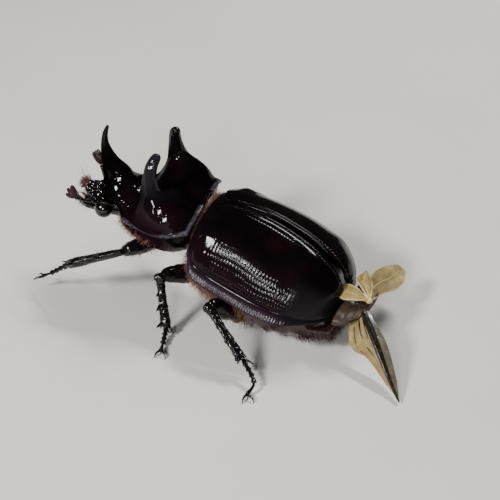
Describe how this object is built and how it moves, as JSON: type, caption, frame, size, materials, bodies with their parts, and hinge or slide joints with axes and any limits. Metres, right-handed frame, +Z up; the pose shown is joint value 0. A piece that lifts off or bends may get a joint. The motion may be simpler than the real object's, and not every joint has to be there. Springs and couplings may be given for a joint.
{
  "type": "rhinoceros beetle",
  "caption": "Life-size glossy black rhinoceros beetle with horns on its thorax, wing cases slightly parted and folded wings showing, standing on its feet.",
  "frame": {"origin": "middle of the animal's footprint box, on the floor its feet stand on", "axes": "+Z up, -Y towards the head, +X towards the animal's left side"},
  "size_m": [0.0482, 0.0688, 0.0297],
  "materials": {
    "shell": "gloss",
    "head_shell": "gloss",
    "eyes": "gloss",
    "feelers": "satin",
    "mouth": "satin",
    "breast": "satin",
    "abdomen": "satin",
    "pygidium": "gloss",
    "wings": "satin",
    "legs": "gloss"
  },
  "bodies": {
    "root": {"horn_front": "shell", "horn_left": "shell", "horn_right": "shell", "pronotum": "shell", "head": "head_shell", "mouthparts": "mouth", "eye_left": "eyes", "antenna_left": "feelers", "eye_right": "eyes", "antenna_right": "feelers", "elytron_left": "shell", "elytron_right": "shell", "scutellum": "shell", "thorax": "breast", "abdomen": "abdomen", "pygidium": "pygidium", "neck": "breast", "femur_fore_left": "legs", "tibia_fore_left": "legs", "tarsus_fore_left": "legs", "femur_fore_right": "legs", "tibia_fore_right": "legs", "tarsus_fore_right": "legs", "femur_mid_left": "legs", "tibia_mid_left": "legs", "tarsus_mid_left": "legs", "femur_mid_right": "legs", "tibia_mid_right": "legs", "tarsus_mid_right": "legs", "femur_hind_left": "legs", "tibia_hind_left": "legs", "tarsus_hind_left": "legs", "femur_hind_right": "legs", "tibia_hind_right": "legs", "tarsus_hind_right": "legs", "wing_left": "wings", "wing_right": "wings"}
  },
  "joints": []
}
